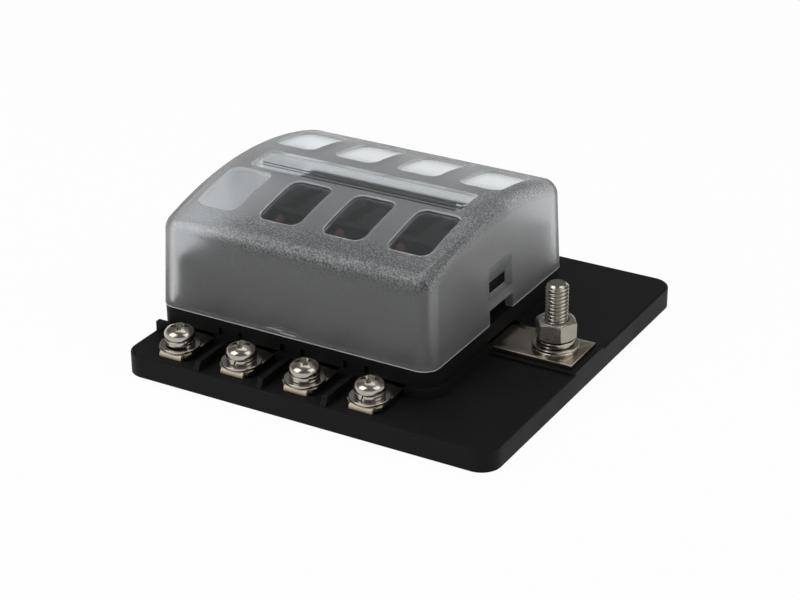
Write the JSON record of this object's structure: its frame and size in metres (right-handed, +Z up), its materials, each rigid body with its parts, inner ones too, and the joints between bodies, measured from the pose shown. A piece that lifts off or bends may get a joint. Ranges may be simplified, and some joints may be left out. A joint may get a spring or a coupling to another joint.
{
  "type": "fuse box",
  "caption": "Low blade fuse box: black base with screw terminals along both sides, a bus bar with an input stud, and a frosted arched cover that lifts off.",
  "frame": {"origin": "middle of the base plate's underside", "axes": "+X along the plate towards the input stud, +Y across it from the front row of terminals to the rear row, +Z up"},
  "size_m": [0.106, 0.1068, 0.043],
  "materials": {
    "black_plastic": "fine grain, semi-matt, moulded",
    "frosted_plastic": "frosted clear with smooth windows",
    "plated_brass": "tin or nickel plated sheet",
    "plated_steel": "nickel plated, warm grey",
    "circuit_board": "solder mask",
    "red_lamp": "clear red resin",
    "chip_ceramic": "chip resistor"
  },
  "bodies": {
    "housing": {"base_plate": "black_plastic", "fuse_block": "black_plastic", "bus_bar": "plated_brass", "input_stud": "plated_steel", "indicator_board": "circuit_board", "indicator_resistors": "chip_ceramic", "block_screws": "plated_steel", "terminal_front_1": "plated_brass", "terminal_front_2": "plated_brass", "terminal_front_3": "plated_brass", "terminal_front_4": "plated_brass", "terminal_rear_1": "plated_brass", "terminal_rear_2": "plated_brass", "terminal_rear_3": "plated_brass", "terminal_rear_4": "plated_brass", "indicator_lamp_front_1": "red_lamp", "indicator_lamp_front_2": "red_lamp", "indicator_lamp_front_3": "red_lamp", "indicator_lamp_front_4": "red_lamp", "indicator_lamp_rear_1": "red_lamp", "indicator_lamp_rear_2": "red_lamp", "indicator_lamp_rear_3": "red_lamp", "indicator_lamp_rear_4": "red_lamp"},
    "cover": {"cover": "frosted_plastic"},
    "screw_front_1_washers": {"lock_washer_front_1": "plated_steel", "flat_washer_front_1": "plated_steel"},
    "screw_front_1": {"terminal_screw_front_1": "plated_steel"},
    "screw_front_2_washers": {"lock_washer_front_2": "plated_steel", "flat_washer_front_2": "plated_steel"},
    "screw_front_2": {"terminal_screw_front_2": "plated_steel"},
    "screw_front_3_washers": {"lock_washer_front_3": "plated_steel", "flat_washer_front_3": "plated_steel"},
    "screw_front_3": {"terminal_screw_front_3": "plated_steel"},
    "screw_front_4_washers": {"lock_washer_front_4": "plated_steel", "flat_washer_front_4": "plated_steel"},
    "screw_front_4": {"terminal_screw_front_4": "plated_steel"},
    "screw_rear_1_washers": {"lock_washer_rear_1": "plated_steel", "flat_washer_rear_1": "plated_steel"},
    "screw_rear_1": {"terminal_screw_rear_1": "plated_steel"},
    "screw_rear_2_washers": {"lock_washer_rear_2": "plated_steel", "flat_washer_rear_2": "plated_steel"},
    "screw_rear_2": {"terminal_screw_rear_2": "plated_steel"},
    "screw_rear_3_washers": {"lock_washer_rear_3": "plated_steel", "flat_washer_rear_3": "plated_steel"},
    "screw_rear_3": {"terminal_screw_rear_3": "plated_steel"},
    "screw_rear_4_washers": {"lock_washer_rear_4": "plated_steel", "flat_washer_rear_4": "plated_steel"},
    "screw_rear_4": {"terminal_screw_rear_4": "plated_steel"},
    "nut_washers": {"input_lock_washer": "plated_steel", "input_flat_washer": "plated_steel"},
    "nut": {"input_nut": "plated_steel"}
  },
  "joints": [
    {"name": "cover_lift", "type": "slide", "parent": "housing", "child": "cover", "axis": [0, 0, 1], "range_m": [0, 0.04]},
    {"name": "screw_front_1_rise", "type": "slide", "parent": "housing", "child": "screw_front_1_washers", "axis": [0, 0, 1], "range_m": [0, 0.0056]},
    {"name": "screw_front_1_turn", "type": "hinge", "parent": "screw_front_1_washers", "child": "screw_front_1", "pos_m": [-0.04015, -0.0458, 0.0095], "axis": [0, 0, 1], "range_deg": [0, 2880]},
    {"name": "screw_front_2_rise", "type": "slide", "parent": "housing", "child": "screw_front_2_washers", "axis": [0, 0, 1], "range_m": [0, 0.0056]},
    {"name": "screw_front_2_turn", "type": "hinge", "parent": "screw_front_2_washers", "child": "screw_front_2", "pos_m": [-0.02149, -0.0458, 0.0095], "axis": [0, 0, 1], "range_deg": [0, 2880]},
    {"name": "screw_front_3_rise", "type": "slide", "parent": "housing", "child": "screw_front_3_washers", "axis": [0, 0, 1], "range_m": [0, 0.0056]},
    {"name": "screw_front_3_turn", "type": "hinge", "parent": "screw_front_3_washers", "child": "screw_front_3", "pos_m": [-0.00283, -0.0458, 0.0095], "axis": [0, 0, 1], "range_deg": [0, 2880]},
    {"name": "screw_front_4_rise", "type": "slide", "parent": "housing", "child": "screw_front_4_washers", "axis": [0, 0, 1], "range_m": [0, 0.0056]},
    {"name": "screw_front_4_turn", "type": "hinge", "parent": "screw_front_4_washers", "child": "screw_front_4", "pos_m": [0.01583, -0.0458, 0.0095], "axis": [0, 0, 1], "range_deg": [0, 2880]},
    {"name": "screw_rear_1_rise", "type": "slide", "parent": "housing", "child": "screw_rear_1_washers", "axis": [0, 0, 1], "range_m": [0, 0.0056]},
    {"name": "screw_rear_1_turn", "type": "hinge", "parent": "screw_rear_1_washers", "child": "screw_rear_1", "pos_m": [-0.04015, 0.0458, 0.0095], "axis": [0, 0, 1], "range_deg": [0, 2880]},
    {"name": "screw_rear_2_rise", "type": "slide", "parent": "housing", "child": "screw_rear_2_washers", "axis": [0, 0, 1], "range_m": [0, 0.0056]},
    {"name": "screw_rear_2_turn", "type": "hinge", "parent": "screw_rear_2_washers", "child": "screw_rear_2", "pos_m": [-0.02149, 0.0458, 0.0095], "axis": [0, 0, 1], "range_deg": [0, 2880]},
    {"name": "screw_rear_3_rise", "type": "slide", "parent": "housing", "child": "screw_rear_3_washers", "axis": [0, 0, 1], "range_m": [0, 0.0056]},
    {"name": "screw_rear_3_turn", "type": "hinge", "parent": "screw_rear_3_washers", "child": "screw_rear_3", "pos_m": [-0.00283, 0.0458, 0.0095], "axis": [0, 0, 1], "range_deg": [0, 2880]},
    {"name": "screw_rear_4_rise", "type": "slide", "parent": "housing", "child": "screw_rear_4_washers", "axis": [0, 0, 1], "range_m": [0, 0.0056]},
    {"name": "screw_rear_4_turn", "type": "hinge", "parent": "screw_rear_4_washers", "child": "screw_rear_4", "pos_m": [0.01583, 0.0458, 0.0095], "axis": [0, 0, 1], "range_deg": [0, 2880]},
    {"name": "nut_rise", "type": "slide", "parent": "housing", "child": "nut_washers", "axis": [0, 0, 1], "range_m": [0, 0.014]},
    {"name": "nut_turn", "type": "hinge", "parent": "nut_washers", "child": "nut", "pos_m": [0.0434, 0, 0.0108], "axis": [0, 0, 1], "range_deg": [0, 5040]}
  ],
  "couplings": [
    {"joint": "screw_front_1_turn", "follows": "screw_front_1_rise", "rad_per_m": 8976},
    {"joint": "screw_front_2_turn", "follows": "screw_front_2_rise", "rad_per_m": 8976},
    {"joint": "screw_front_3_turn", "follows": "screw_front_3_rise", "rad_per_m": 8976},
    {"joint": "screw_front_4_turn", "follows": "screw_front_4_rise", "rad_per_m": 8976},
    {"joint": "screw_rear_1_turn", "follows": "screw_rear_1_rise", "rad_per_m": 8976},
    {"joint": "screw_rear_2_turn", "follows": "screw_rear_2_rise", "rad_per_m": 8976},
    {"joint": "screw_rear_3_turn", "follows": "screw_rear_3_rise", "rad_per_m": 8976},
    {"joint": "screw_rear_4_turn", "follows": "screw_rear_4_rise", "rad_per_m": 8976},
    {"joint": "nut_turn", "follows": "nut_rise", "rad_per_m": 6283.2}
  ]
}
